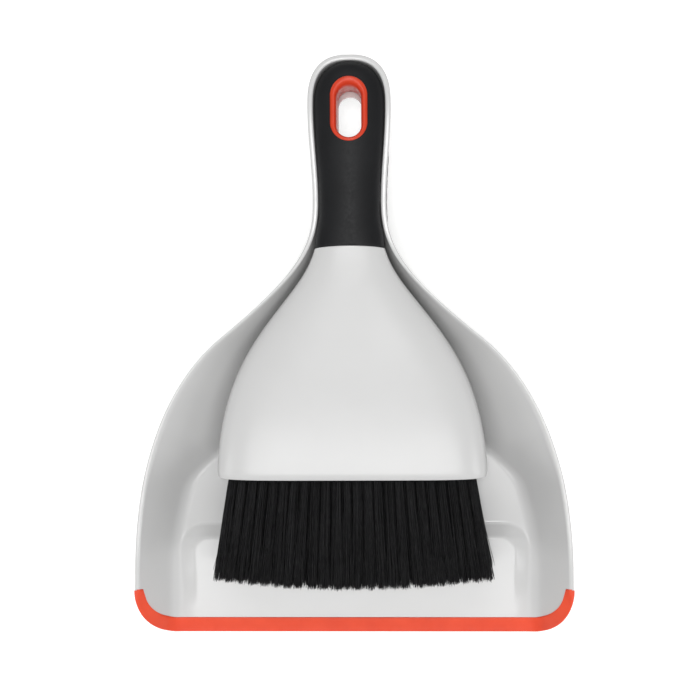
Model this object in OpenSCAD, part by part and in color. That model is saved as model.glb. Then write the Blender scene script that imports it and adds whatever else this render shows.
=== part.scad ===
// Dust pan and brush set, in millimetres. The brush lies in the pan with its handle in the channel of the
// pan's handle. X runs across, +Y runs from the lip to the tip of the handle, +Z is up, and the pan stands
// on Z = 0 with the origin under the middle of the set.

/* [Pan] */
// Width over the side rims
pan_w = 242; // [225:1:295]
// Length from the edge of the lip to the tip of the handle
pan_l = 315; // [305:1:380]
// Thickness of the floor and the side walls
pan_wall = 2.2; // [1.8:0.1:2.8]
// Height of the rim at the front corners
rim_front = 26; // [22:1:32]
// Height of the rim where the handle begins
rim_neck = 60; // [60:0.5:62]
// Height of the rim at the tip of the handle
rim_tip = 62; // [62:0.5:64]
// Length of the straight stretch of each side rim, from the lip
side_l = 32.5; // [30:0.5:50]
// Width over the rims at the shoulders, where their curve turns over
shoulder_w = 142.8; // [136:0.2:160]
// Distance of the shoulders from the neck
shoulder_l = 72.6; // [66:0.2:80]
// How far a side wall leans out for each millimetre it rises, at the front
lean_front = 0.68; // [0.6:0.01:0.75]
// The same at the shoulders
lean_shoulder = 1.05; // [0.8:0.01:1.1]
// Distance from the lip to where the walls begin to lean out further
lean_from = 82; // [60:0.5:84]
// Length over which they reach the lean of the shoulders
lean_over = 28; // [20:0.5:70]
// Outer radius between the floor and the walls
floor_r = 12; // [10:0.5:14]

/* [Pan handle] */
// Length from the neck to the tip
handle_l = 77.5; // [75:0.5:84]
// Width over the rims at the neck
neck_w = 39.2; // [39.2:0.2:46]
// Width over the rims near the tip
tip_w = 44.4; // [44.4:0.2:50]
// Length of the rounded tip
tip_l = 27; // [25:0.5:32]
// Thickness of the handle's walls
handle_wall = 2.8; // [2.4:0.1:3.2]
// Height of the handle's underside
channel_z = 40; // [34:0.5:40]
// How far a handle wall leans out for each millimetre it rises
lean_handle = 0.15; // [0.08:0.01:0.16]
// Width of the slot the set hangs from
slot_w = 12.6; // [9:0.1:12.8]
// Length of the slot the set hangs from
slot_l = 25; // [16:0.5:26]
// Distance from the tip to the middle of the slot
slot_back = 32.5; // [31:0.5:34]
// Gap between the grip and the ribs in the channel that keep it in the middle
rib_gap = 0.2; // [0.1:0.05:0.4]
// Radius of these ribs
rib_r = 1.5; // [1:0.1:2]
// Length of these ribs between their round ends
rib_l = 8; // [6:0.5:10]
// Depth of these ribs below the grip's widest line, as a share of the grip's depth
rib_share = 0.375; // [0.3:0.005:0.45]
// Thickness of the soft pad under the handle
pad_t = 1.8; // [1.2:0.1:2.4]
// Length of the soft pad
pad_l = 44; // [30:1:46]
// How far the pad reaches forward of the neck
pad_back = 14; // [8:1:16]

/* [Entry ramp] */
// Width of the ramp inside the lip
ramp_w = 184; // [150:1:200]
// Rise of the ramp to its ridge
ramp_h = 4.5; // [2:0.1:5]
// Distance of the ridge from the edge of the lip
ramp_l = 53; // [50:0.5:62]
// Length of the slope behind the ridge
ramp_back = 9; // [4:0.5:10]
// Radius of the ramp's back corners
ramp_r = 12; // [8:1:24]

/* [Lip] */
// Width of the lip along the front
lip_w = 8.3; // [7:0.1:12]
// Width of the lip where it meets the rim
lip_tail = 2.2; // [2:0.1:4.5]
// Thickness of the lip at its edge
lip_edge = 0.9; // [0.6:0.1:1.4]
// How far the lip stands proud of the floor
lip_proud = 0.3; // [0.1:0.1:0.6]
// How far the front corners are cut in from the sides
corner_in = 21; // [18:0.5:26]
// How far the front corners are cut back from the front
corner_back = 26.5; // [22:0.5:30]

/* [Brush head] */
// Width of the head at its mouth
head_w = 146.8; // [144:0.2:160]
// Height of the head at its mouth
head_h = 38; // [36:0.5:40]
// Length of the head from the grip to its mouth
head_l = 122; // [112:1:126]
// Wall of the hollow head
head_wall = 2.5; // [2:0.1:2.8]
// Downward tilt of the mouth and the bristles
brush_tilt = 9.5; // [6:0.5:10]

/* [Brush grip] */
// Gap between the grip and the pan's rim at the neck
grip_gap = 0.7; // [0.7:0.05:1.5]
// Rise of the grip above its widest line
grip_up = 8; // [7:0.5:10]
// Gap between the grip and the floor of the channel
channel_gap = 1.2; // [1:0.1:2.5]
// Distance of the grip's soft end from the tip of the pan
grip_back = 4; // [4:0.5:6]
// How far the joint between the grip and the head bows towards the tip
neck_bow = 1; // [0:0.1:3]
// How much the grip flares on each side where it meets the head
head_flare = 2.5; // [0:0.1:3]
// Half width of the core inside the grip
core_half = 12; // [11:0.5:12.5]
// Rubber over the core
core_over = 4; // [3:0.5:5]
// Rubber under the core
core_under = 7; // [4:0.5:8]

/* [Hang ring] */
// How much wider the hole in the ring is than the pan's slot
ring_wider = 0.3; // [0:0.1:1]
// How much longer the hole in the ring is than the pan's slot
ring_longer = 2.3; // [0:0.1:3]
// Distance of the ring's hole from the middle of the slot, towards the tip
ring_shift = 1.7; // [0:0.1:2]
// Wall of the ring where it runs through the handle
ring_wall = 1.8; // [1.2:0.1:2]
// Overhang of the flange at each side
flange_side = 1.85; // [1:0.05:2.2]
// Overhang of the flange at each end
flange_end = 1.65; // [1:0.05:2.5]
// Distance of the flange from the middle of the ring's hole, towards the tip
flange_shift = 1.45; // [0:0.05:2.2]

/* [Bristles] */
// Free length of the middle tufts
bristle_l = 65; // [40:1:67]
// Diameter of the tuft holes
hole_d = 3.8; // [3:0.1:4]
// Depth of the tuft holes
hole_depth = 11; // [8:0.5:12]
// Diameter of a tuft at its tips
tuft_tip_d = 6; // [4:0.1:6]
// Distance between tufts in a row
tuft_pitch = 5.6; // [5:0.1:5.6]
// Distance between rows
row_pitch = 5.3; // [4.8:0.1:5.4]
// Least distance of a tuft from the end of the block
tuft_margin = 5.9; // [4:0.1:8]
// Height of the lowest bristle tips above the ramp
bristle_gap = 0.9; // [0.8:0.05:4]
// Angle at which the outermost tufts splay sideways
splay = 9; // [0:0.5:10]
// Angle at which the first and the last row splay up and down
row_splay = 2; // [0:0.5:2]
// Thickness of the bristle block
block_t = 14; // [13:0.5:15]
// Gap round the block in its socket
block_gap = 0.15; // [0.1:0.05:0.3]
// How far the block sits back in the mouth
block_back = 1.5; // [0.5:0.1:3]
// How much thicker the head's wall is round the block
socket_lip = 0.5; // [0:0.1:1]
// Height of the staples that hold the tufts
staple_h = 1.8; // [1.2:0.1:2.4]
// How much shorter the outermost tufts are than the middle ones
bristle_round = 4.5; // [0:0.1:6]

/* [Hidden] */
$fn = 48;

PLASTIC_WHITE = "whitesmoke";
LIP_ORANGE = [0.94, 0.35, 0.24];
RING_ORANGE = [0.85, 0.29, 0.2];
RUBBER = [0.18, 0.19, 0.2];
BRISTLE_BLACK = [0.07, 0.07, 0.08];

// Places along Y
front_y = -pan_l / 2;
tip_y = pan_l / 2;
neck_y = tip_y - handle_l;
tip_start = tip_y - tip_l;
side_y = front_y + side_l;
shoulder_y = neck_y - shoulder_l;
rise_start = neck_y - 60;   // where the back wall leaves the floor
rise_end = neck_y - 18;     // where the back wall reaches the handle's underside
slot_y = tip_y - slot_back;
grip_end = tip_y - grip_back;
grip_start = neck_y - 24;   // where the grip meets the head
mouth_y = grip_start - head_l;
ramp_from = front_y + lip_w;
ridge_y = front_y + ramp_l;
pad_from = neck_y - pad_back;
pad_to = pad_from + pad_l;
ring_y = slot_y + ring_shift;
flange_y = ring_y + flange_shift;

// Heights and sizes that follow from what the piece fits
grip_z = rim_neck;          // the widest line of the grip is level with the rim
grip_down = grip_z - channel_z - handle_wall - channel_gap;
core_z = grip_z - grip_down + core_under;
core_t = grip_up + grip_down - core_over - core_under;
ring_hole_w = slot_w + ring_wider;
ring_hole_l = slot_l + ring_longer;
ring_w = ring_hole_w + 2 * ring_wall;
ring_l = ring_hole_l + 2 * ring_wall;
flange_w = ring_w + 2 * flange_side;
flange_l = ring_l + 2 * flange_end;
socket_half = [head_w / 2 - head_wall - socket_lip, head_h / 2 - head_wall - socket_lip];
tufts_n = floor(2 * (socket_half.x - tuft_margin) / tuft_pitch) + 1;
half_row = (tufts_n - 1) / 2 * tuft_pitch;
half_rows = 2 * row_pitch;  // there are five rows

// The mouth is as high as the lowest bristle tips, in the middle of the last row, need over the ramp
tips_dip = brush_tilt + row_splay;
tips_y = mouth_y + block_back * cos(brush_tilt) + half_rows * sin(brush_tilt) - bristle_l * cos(tips_dip);
tips_drop = half_rows * cos(brush_tilt) - block_back * sin(brush_tilt) + bristle_l * sin(tips_dip)
    + tuft_tip_d / 2 * cos(tips_dip);
ramp_at_tips = ramp_h * min(1, max(0, (tips_y - ramp_from) / (ridge_y - ramp_from)));
mouth_z = pan_wall + ramp_at_tips + bristle_gap + tips_drop;

// ---------- curves ----------
function mix(a, b, t) = a + (b - a) * t;
function ease(t) = let (u = min(1, max(0, t))) u * u * (3 - 2 * u);
function bezier(p, t) = pow(1 - t, 3) * p[0] + 3 * t * pow(1 - t, 2) * p[1] + 3 * t * t * (1 - t) * p[2]
    + pow(t, 3) * p[3];
function signed_pow(v, p) = (v < 0 ? -1 : 1) * pow(abs(v), p);
// The cosine and sine of a superellipse of exponent n
function super_cos(a, n) = signed_pow(cos(a), 2 / n);
function super_sin(a, n) = signed_pow(sin(a), 2 / n);

// ---------- the pan's rim, seen from above ----------
shoulder = [shoulder_w / 2, shoulder_y];
shoulder_dir = [sin(51.5), -cos(51.5)];
rim_curves = [
    [[pan_w / 2, side_y], [pan_w / 2, side_y + 76], shoulder + 28 * shoulder_dir, shoulder],
    [shoulder, shoulder - 59 * shoulder_dir, [neck_w / 2, neck_y - 23], [neck_w / 2, neck_y]]];
rim_steps = 20;
rim_table = concat(
    [[front_y, pan_w / 2]],
    [for (c = rim_curves, i = [0:rim_steps - 1]) let (p = bezier(c, i / rim_steps)) [p.y, p.x]],
    [for (i = [0:6]) [mix(neck_y, tip_start, i / 6), mix(neck_w, tip_w, ease(i / 6)) / 2]]);
function rim_x(y) = lookup(y, rim_table);
function rim_z(y) = y < neck_y ? mix(rim_front, rim_neck, ease((y - side_y) / (neck_y - side_y)))
    : mix(rim_neck, rim_tip, ease((y - neck_y) / (tip_start - neck_y)));
function under_z(y) = channel_z * ease((y - rise_start) / (rise_end - rise_start));
function wall_at(y) = mix(pan_wall, handle_wall, ease((y - rise_start) / (neck_y - rise_start)));
function lean(y) = y < shoulder_y - 28
    ? mix(lean_front, lean_shoulder, ease((y - front_y - lean_from) / lean_over))
    : mix(lean_shoulder, lean_handle, ease((y - shoulder_y + 28) / 90));

// ---------- the pan's cross-section ----------
// Point j of the half section at y, e millimetres inside the outer surface. Points 0 to FLOOR_J are on the
// floor, the next ones on the corner radius up to ARC_J, and the last, RIM_J, is on the rim.
FLOOR_J = 2;
ARC_J = 8;
RIM_J = 15;
function section(j, y, e) =
    let (z0 = under_z(y), h = rim_z(y) - z0, x0 = rim_x(y) - lean(y) * h,
         a = atan2(h, rim_x(y) - x0), r = mix(floor_r, 9, ease((y - rise_start) / 40)),
         c = [x0 - r * tan(a / 2), z0 + r], top = [rim_x(y) - e / sin(a), rim_z(y)])
    j <= FLOOR_J ? [c.x * j / FLOOR_J, z0 + e]
    : j <= ARC_J ? let (b = a * (j - FLOOR_J) / (ARC_J - FLOOR_J)) c + (r - e) * [sin(b), -cos(b)]
    : let (u = 1 - (j - ARC_J) / (RIM_J - ARC_J)) mix(top, c + (r - e) * [sin(a), -cos(a)], u * u);
// The same point in space, on the right for j > 0 and on the left for j < 0
function pan_point(j, y, e) = let (p = section(abs(j), y, e)) [sign(j) * p.x, y, p.y];
// The rounded tip: the section at tip_start swept round a superellipse, a from 0 to 90 degrees
function tip_point(j, a, e) =
    let (p = section(abs(j), tip_start, e), reach = tip_l - tip_w / 2 + p.x)
    [sign(j) * p.x * super_cos(a, 2.6), tip_start + reach * super_sin(a, 2.6), p.y];

// ---------- the front edges, which turn back round the front corners ----------
// Half width of the grip where it lies in the channel
function grip_half(y) = section(RIM_J, min(tip_start, max(neck_y, y)), handle_wall).x - grip_gap;
// Y of an edge that runs off behind the front, cut in by inset from the sides
function edge_y(j, off, inset, ends) =
    let (x = section(abs(j), side_y, 0).x,
         q = min(1, max(0, (x - pan_w / 2 + corner_in) / (corner_in - inset))))
    front_y + off + (corner_back - off + ends) * (1 - sqrt(1 - q * q));
function lip_edge_y(j) = edge_y(j, 0, 0, -0.5);
function pan_edge_y(j) = edge_y(j, lip_w * 0.55, lip_tail * 0.5, 0);
function step_y(j) = edge_y(j, lip_w, lip_tail, 0.5);
step_depth = 1; // how deep the lip is let into the floor

// ---------- solids through rings of points ----------
// Each four-sided stretch is split along one diagonal, or along the other if turned
module loft(rings, first_cap, last_cap, turned = false) {
    m = len(rings[0]);
    n = len(rings);
    sides = [for (i = [0:n - 2], j = [0:m - 1]) let (a = i * m + j, b = i * m + (j + 1) % m)
        each turned ? [[a, a + m, b + m], [a, b + m, b]] : [[a, a + m, b], [b, a + m, b + m]]];
    last = [for (f = last_cap) [for (k = [len(f) - 1:-1:0]) f[k] + (n - 1) * m]];
    polyhedron(points = [for (r = rings) each r], faces = concat(sides, first_cap, last));
}
// A cap over a flat ring of m points
function flat_cap(m) = [[for (k = [0:m - 1]) k]];
// A cap over a ring of m points, bowed in X alone, in upright strips from its right end to its left
function bowed_cap(m) = concat([[0, 1, m - 1]], [for (k = [1:m / 2 - 2]) [k, k + 1, m - 1 - k, m - k]],
    [[m / 2 - 1, m / 2, m / 2 + 1]]);
// A cap over a ring that runs out along one line and back along another, m points in all
function strip_cap(m) = [for (k = [0:m / 2 - 2]) [k, k + 1, m - 2 - k, m - 1 - k]];
// A cap over a narrow U of m points, counted from k0
function u_cap(m, k0) = concat(
    [for (k = [0:(m - 5) / 2]) [k0 + k, k0 + k + 1, k0 + m - 2 - k, k0 + m - 1 - k]],
    [[k0 + (m - 3) / 2, k0 + (m - 1) / 2, k0 + (m + 1) / 2]]);
// A slot with round ends, h high, standing on the XY plane
module slot(w, l, h) {
    linear_extrude(h) {
        square([w, l - w], center = true);
        for (s = [-1, 1]) translate([0, s * (l - w) / 2]) circle(d = w);
    }
}

// ---------- pan ----------
pad_ys = [for (i = [0:6]) mix(pad_from, pad_to, i / 6)];
blend_l = 60; // length over which the sections turn from the corner's curve to straight across
body_ys = concat([for (i = [1:5]) step_y(0) + blend_l * i / 5],
    [for (i = [0:17]) mix(step_y(0) + blend_l + 10, pad_from - 6, i / 17)], pad_ys,
    [for (i = [1:2]) mix(pad_to, tip_start, i / 3)]);
function body_y(j, y) = y + (step_y(j) - step_y(0)) * max(0, 1 - (y - step_y(0)) / blend_l);
ALONG = [for (j = [-RIM_J:RIM_J]) j];
BACK = [for (j = [RIM_J:-1:-RIM_J]) j];

module pan_shell() {
    front_rings = [
        concat([for (j = ALONG) pan_point(j, pan_edge_y(j), pan_wall - step_depth)],
               [for (j = BACK) pan_point(j, pan_edge_y(j), 0)]),
        concat([for (j = ALONG) pan_point(j, step_y(j), pan_wall - step_depth)],
               [for (j = BACK) pan_point(j, mix(pan_edge_y(j), step_y(j), 0.6), 0)]),
        concat([for (j = ALONG) pan_point(j, step_y(j), pan_wall)],
               [for (j = BACK) pan_point(j, step_y(j) + 1, 0)])];
    body_rings = [for (y = body_ys)
        concat([for (j = ALONG) pan_point(j, body_y(j, y), wall_at(y))],
               [for (j = BACK) pan_point(j, body_y(j, y), 0)])];
    tip_rings = [for (a = [0, 14, 28, 42, 56, 68, 78, 87])
        concat([for (j = ALONG) tip_point(j, a, handle_wall)], [for (j = BACK) tip_point(j, a, 0)])];
    m = 2 * RIM_J + 1;
    tip_cap = concat(u_cap(m, 0), u_cap(m, m), [[0, m - 1, m, 2 * m - 1]]);
    loft(concat(front_rings, body_rings, tip_rings), strip_cap(2 * m), tip_cap);
}

// The ramp, or the hollow under it when it is drawn t smaller all round
module ramp(t) {
    w = ramp_w - 2 * t;
    from = ramp_from + 2 * t;
    to = ridge_y - t * 0.6;
    intersection() {
        translate([0, 0, -1]) linear_extrude(20) {
            translate([-w / 2, from]) square([w, ridge_y - from - ramp_r]);
            translate([-w / 2 + ramp_r, from]) square([w - 2 * ramp_r, ridge_y - from + ramp_back + 1]);
            for (s = [-1, 1]) translate([s * (w / 2 - ramp_r), ridge_y - ramp_r]) circle(r = ramp_r - t / 2);
        }
        rotate([90, 0, 90]) translate([0, 0, -w]) linear_extrude(2 * w)
            polygon([[from, t > 0 ? -2 : 0.5], [from, pan_wall - t], [to, pan_wall + ramp_h - t],
                     [to + ramp_back, t > 0 ? -2 : 0.5]]);
    }
}

// A rounded rib on the channel's wall, rib_gap from the side of the grip, whose section is an ellipse there
module rib(side, y) {
    rise = sqrt(1 - rib_share * rib_share);
    slope = grip_half(y) / grip_down * rib_share / rise;
    x = grip_half(y) * rise + (rib_r + rib_gap) * sqrt(1 + slope * slope);
    translate([side * x, y, grip_z - rib_share * grip_down]) {
        rotate([90, 0, 0]) cylinder(r = rib_r, h = rib_l, center = true);
        for (s = [-1, 1]) translate([0, s * rib_l / 2, 0]) sphere(r = rib_r);
    }
}

module pan_body() color(PLASTIC_WHITE) {
    difference() {
        union() {
            pan_shell();
            ramp(0);
        }
        ramp(pan_wall);
        translate([0, slot_y, channel_z - 5]) slot(slot_w, slot_l, 16);
    }
    for (s = [-1, 1], y = [neck_y + 5, neck_y + 18]) rib(s, y);
}

module pan_lip() color(LIP_ORANGE) {
    rings = [for (j = BACK) let (yl = lip_edge_y(j), ye = pan_edge_y(j), ys = step_y(j)) [
        pan_point(j, ys, pan_wall + lip_proud), pan_point(j, ys, pan_wall - step_depth),
        pan_point(j, ye, pan_wall - step_depth), pan_point(j, ye, 0), pan_point(j, yl, 0),
        pan_point(j, yl, lip_edge), pan_point(j, mix(yl, ys, 0.35), mix(lip_edge, pan_wall + lip_proud, 0.5)),
        pan_point(j, mix(yl, ys, 0.75), mix(lip_edge, pan_wall + lip_proud, 0.92))]];
    loft(rings, flat_cap(8), flat_cap(8));
}

PAD_J = 12; // the section's last point under the pad
// Depth of the pad's surface, where u goes from 0 to 1 along it
function pad_depth(j, u) = -max(0.4, pad_t * (1 - pow(abs(j) / PAD_J, 6)) * (1 - pow(abs(2 * u - 1), 8)));

module pan_grip() color(RUBBER) {
    js = [for (j = [-PAD_J:PAD_J]) j];
    n = len(pad_ys);
    rings = [for (i = [0:n - 1]) concat(
        [for (j = js) pan_point(j, pad_ys[i], 0)],
        [for (k = [len(js) - 1:-1:0]) pan_point(js[k], pad_ys[i], pad_depth(js[k], i / (n - 1)))])];
    loft(rings, strip_cap(2 * len(js)), strip_cap(2 * len(js)), turned = true);
}

// ---------- brush ----------
RING_N = 40;
neck_n = 2.3;  // exponents of the head's section, which is rounder at the neck
mouth_n = 5;   // and squarer at the mouth
head_neck_half = grip_half(neck_y) + head_flare;

// A ring round the brush: half width, rise and depth from its widest line, tilted back by a
function brush_ring(y, z, half, up, down, n, a = 0, bow = 0) = [for (i = [0:RING_N - 1])
    let (t = 360 * i / RING_N, x = half * super_cos(t, n), w = (t < 180 ? up : down) * super_sin(t, n))
    [x, y - w * sin(a) - bow * pow(x / half, 2), z + w * cos(a)]];

// Sections of the head, from u = 0 at the grip to u = 1 at the mouth, drawn t smaller all round
head_curve = [[head_neck_half, grip_start], [head_neck_half + 10, grip_start - 34],
              [head_w / 2 - 3, mouth_y + 75], [head_w / 2, mouth_y]];
function head_ring(u, t = 0, inset = 0) =
    let (p = bezier(head_curve, u), v = (grip_start - p.y) / head_l)
    brush_ring(p.y, mix(grip_z - 1, mouth_z, v), p.x - t - inset,
        mix(grip_up + 1, head_h / 2, ease(v)) - t - inset, mix(grip_down + 1, head_h / 2, v) - t - inset,
        mix(neck_n, mouth_n, ease(v)), brush_tilt * ease(v * 1.15),
        neck_bow * (1 - ease(v * 4)));

// The mouth's own frame: -Y runs out along the bristles and Z across their rows
module at_mouth() translate([0, mouth_y, mouth_z]) rotate([brush_tilt, 0, 0]) children();

socket_l = block_back + block_t;
function socket_ring(d, t) = let (y = mouth_y + d * cos(brush_tilt), z = mouth_z + d * sin(brush_tilt))
    brush_ring(y, z, socket_half.x - t, socket_half.y - t, socket_half.y - t, mouth_n, brush_tilt);

core_from = grip_start - 8;
core_end = slot_y + 21;
module core() {
    translate([0, 0, core_z]) linear_extrude(core_t) {
        translate([-core_half, core_from]) square([2 * core_half, core_end - core_half - core_from]);
        translate([0, core_end - core_half]) circle(r = core_half);
    }
}

ring_z = grip_z - grip_down - 0.3; // the ring's lower end, just below the grip
ring_top = grip_z + grip_up + 0.8; // the top of its flange, just above the grip
flange_z = ring_top - 3.6;         // the flange's underside
dome_r = 30;                       // radius of the flange's domed top
// The whole ring without its hole
module ring_blank() {
    translate([0, ring_y, ring_z]) slot(ring_w, ring_l, flange_z - ring_z + 1);
    intersection() {
        translate([0, flange_y, flange_z]) slot(flange_w, flange_l, 8);
        translate([0, flange_y, ring_top - dome_r])
            rotate([90, 0, 0]) cylinder(r = dome_r, h = 2 * flange_l, center = true, $fn = 96);
    }
}

module head_shell() color(PLASTIC_WHITE) {
    outer = [for (u = [0, 0.06, 0.14, 0.24, 0.34, 0.44, 0.54, 0.64, 0.74, 0.84, 0.92, 0.975]) head_ring(u)];
    edge = [head_ring(1, 0, 0.8), socket_ring(0, 0), socket_ring(socket_l, 0), socket_ring(socket_l, 1.6)];
    hollow = [for (u = [0.78, 0.64, 0.5, 0.36, 0.22]) head_ring(u, head_wall)];
    difference() {
        union() {
            loft(concat(outer, edge, hollow), bowed_cap(RING_N), flat_cap(RING_N));
            core();
        }
        translate([0, ring_y, core_z - 1]) slot(ring_w, ring_l, core_t + 2);
    }
}

// A section of the grip, which follows the channel and flares to the head; c shrinks it at the tip
function grip_ring(y, c = 1) =
    let (half = grip_half(y),
         flare = head_flare * ease((neck_y - 6 - y) / 18), s = pow(c, 0.8), v = ease((neck_y - 8 - y) / 16))
    brush_ring(y, grip_z - v, (half + flare) * c, (grip_up + v) * s, (grip_down + v) * s,
        mix(2, neck_n, v), 0,
        neck_bow * ease((grip_start + 10 - y) / 10));

module brush_grip() color(RUBBER) {
    round_from = tip_start;
    tip_rings = [for (a = [87, 82, 74, 64, 52, 38, 22])
        grip_ring(round_from + (grip_end - round_from) * super_sin(a, 2.4), super_cos(a, 2.4))];
    body_rings = [for (i = [8:-1:0]) grip_ring(mix(grip_start, round_from, i / 8))];
    difference() {
        loft(concat(tip_rings, body_rings), flat_cap(RING_N), bowed_cap(RING_N));
        core();
        ring_blank();
    }
}

module hang_ring() color(RING_ORANGE) difference() {
    ring_blank();
    translate([0, ring_y, ring_z - 1]) slot(ring_hole_w, ring_hole_l, ring_top - ring_z + 2);
}

// Places of the tufts of row k, 1 to 5: the rows are staggered, and every second one has a tuft less
function row_n(k) = tufts_n - (k + 1) % 2;
function tuft_xs(k) = [for (i = [0:row_n(k) - 1]) (i - (row_n(k) - 1) / 2) * tuft_pitch];
function row_z(k) = (3 - k) * row_pitch;
// Stands its children on each hole of row k, with Z along the tuft
module on_holes(k) at_mouth() for (x = tuft_xs(k)) translate([x, block_back, row_z(k)])
    rotate([-row_splay * (3 - k) / 2, 0, splay * x / half_row]) rotate([90, 0, 0]) {
        $free_l = bristle_l - bristle_round * pow(x / half_row, 2);
        children();
    }

module bristle_block() color(BRISTLE_BLACK) difference() {
    at_mouth() rotate([-90, 0, 0]) translate([0, 0, block_back]) linear_extrude(block_t)
        polygon([for (i = [0:RING_N - 1]) [(socket_half.x - block_gap) * super_cos(i * 360 / RING_N, mouth_n),
                                           (socket_half.y - block_gap) * super_sin(i * 360 / RING_N, mouth_n)]]);
    for (k = [1:5]) on_holes(k) translate([0, 0, -hole_depth])
        cylinder(d = hole_d, h = hole_depth + 2, $fn = 24);
}

module tufts_row(k) color(BRISTLE_BLACK) on_holes(k) {
    foot = hole_depth - staple_h;
    translate([0, 0, -foot]) cylinder(d = hole_d, h = foot, $fn = 24);
    cylinder(d1 = hole_d, d2 = tuft_tip_d, h = $free_l, $fn = 24);
}

module staples_row(k) color("silver") on_holes(k)
    translate([0, 0, staple_h / 2 - hole_depth]) cube([hole_d - 0.3, 0.5, staple_h], center = true);

pan_body();
pan_lip();
pan_grip();
head_shell();
brush_grip();
hang_ring();
bristle_block();
for (k = [1:5]) tufts_row(k);
for (k = [1:5]) staples_row(k);
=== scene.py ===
"""Dust pan and brush set: the visual model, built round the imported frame.

Shapes are worked out in millimetres, in the frame's axes: X across, +Y from lip to handle tip, Z up. They are
turned into metres when a mesh is made. The sizes that the frame gives are read from its boxes.
"""
import math

import bmesh
import bpy
import numpy as np
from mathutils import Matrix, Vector


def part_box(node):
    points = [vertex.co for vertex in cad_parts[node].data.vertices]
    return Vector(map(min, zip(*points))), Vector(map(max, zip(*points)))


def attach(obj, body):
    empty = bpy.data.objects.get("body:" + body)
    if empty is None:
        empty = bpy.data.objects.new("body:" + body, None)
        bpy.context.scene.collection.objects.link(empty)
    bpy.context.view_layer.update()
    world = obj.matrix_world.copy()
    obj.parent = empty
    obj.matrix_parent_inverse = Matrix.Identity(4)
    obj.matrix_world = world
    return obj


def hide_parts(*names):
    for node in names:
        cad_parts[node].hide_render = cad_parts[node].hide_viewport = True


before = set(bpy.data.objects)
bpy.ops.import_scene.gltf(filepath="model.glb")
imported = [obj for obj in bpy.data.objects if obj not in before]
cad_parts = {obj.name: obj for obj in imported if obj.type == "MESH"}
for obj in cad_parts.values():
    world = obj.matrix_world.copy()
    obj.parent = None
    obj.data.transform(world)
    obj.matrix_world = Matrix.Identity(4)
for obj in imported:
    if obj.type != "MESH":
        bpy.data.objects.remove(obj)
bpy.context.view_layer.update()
MM = 0.001


def box_mm(node):
    """A node's lowest and highest corners, in millimetres."""
    low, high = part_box(node)
    return np.array(low) / MM, np.array(high) / MM


# ---------------------------------------------------------------- sizes, in millimetres
PAN_HIGH = box_mm("pan_body")[1]
LIP_LOW, LIP_HIGH = box_mm("pan_lip")
HALF_W = PAN_HIGH[0]
FRONT_Y = LIP_LOW[1]
TIP_Y = PAN_HIGH[1]
RIM_TIP = PAN_HIGH[2]
RIM_FRONT = LIP_HIGH[2]
RIM_NECK = 60.0
PAN_WALL, HANDLE_WALL = 2.2, 2.8
SIDE_Y = FRONT_Y + 32.5
NECK_Y = TIP_Y - 77.5
TIP_START = TIP_Y - 27.0
NECK_HALF, TIP_HALF = 19.6, 22.2
SHOULDER = np.array([71.4, NECK_Y - 72.6])
SHOULDER_TURN = 51.5       # degrees from +Y to the rim's direction at the shoulder
SIDE_RUN, FRONT_RUN, BACK_RUN, NECK_RUN = 76.0, 28.0, 59.0, 23.0    # handles of the rim's curves
CHANNEL_Z = 40.0
RISE = (NECK_Y - 60.0, NECK_Y - 18.0)
LEAN_FRONT, LEAN_SHOULDER, LEAN_HANDLE = 0.68, 1.05, 0.15   # the wall's run inwards for each mm of height
LEAN_FROM, LEAN_OVER = 82.0, 28.0    # where the walls begin to lean more, behind the lip's edge, and over what
LEAN_TURN, LEAN_BACK = 28.0, 90.0    # how far before the shoulder they begin to stand up again, and over what
FLOOR_R, CHANNEL_R, CORNER_OVER = 12.0, 9.0, 40.0
TIP_N = 2.6                # exponent of the tip's outline
RIM_ROUND, RIM_STEPS = 0.85, 5       # radius of the rim's edges, and the points on each
RIM_RUN = 22.0             # length of wall that the rim's rounding is measured on
SLOT_W, SLOT_L, SLOT_Y = 12.6, 25.0, TIP_Y - 32.5

RAMP_HALF, RAMP_H, RAMP_R = 90.4, 4.5, 8.0
RIDGE_Y = FRONT_Y + 53.0
RAMP_TAPER = 3.0          # how much narrower the ramp is at the lip, each side
RAMP_DROP = 9.3           # width of the slope behind the ridge and at its sides
RAMP_LEAD = 0.6           # how far before its outline that slope begins
RAMP_BOW = 1.15           # exponent of the ramp's rise

LIP_W, LIP_TAIL, LIP_EDGE, LIP_PROUD = 8.3, 2.2, 0.9, 0.45
STEP_DEPTH = 1.0
CORNER_IN, CORNER_BACK = 21.0, 26.5
EDGE_SHARE = 0.55         # where the pan's own edge lies under the lip, as a share of its width
BLEND_L = 60.0            # length over which the sections turn from the corner's curve to straight across

PAD_BACK, PAD_FRONT, PAD_T = 14.0, 30.0, 1.8
PAD_REACH = 0.77          # how far up the channel's wall the pad goes
GROOVE_DEPTH, GROOVE_HALVES = 0.28, 14

GRIP_Z, GRIP_UP, GRIP_DOWN, GRIP_GAP, GRIP_BACK = 60.0, 8.0, 16.0, 0.7, 4.0
GRIP_START = NECK_Y - 24.0
HEAD_FLARE, NECK_BOW = 2.5, 1.0
HEAD_HALF_W, HEAD_HALF_H, HEAD_L, HEAD_WALL = 73.4, 19.0, 122.0, 2.5
MOUTH = np.array([0.0, GRIP_START - HEAD_L, 31.5])
TILT = math.radians(9.5)
BLOCK_BACK, BLOCK_T = 1.5, 14.0
RING_HOLE = (12.9, 27.3)
RING_WALL = 1.8
RING_Y = SLOT_Y + 1.7
FLANGE = (20.2, 34.2)
FLANGE_Y = RING_Y + 1.45
RIB_SHARE, RIB_GAP = 0.375, 0.2
RIB_R, RIB_HALF_L = 1.5, 4.0
RIB_YS = (NECK_Y + 5.0, NECK_Y + 18.0)
NECK_N, MOUTH_N = 2.3, 5.0           # exponents of the head's section
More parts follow.
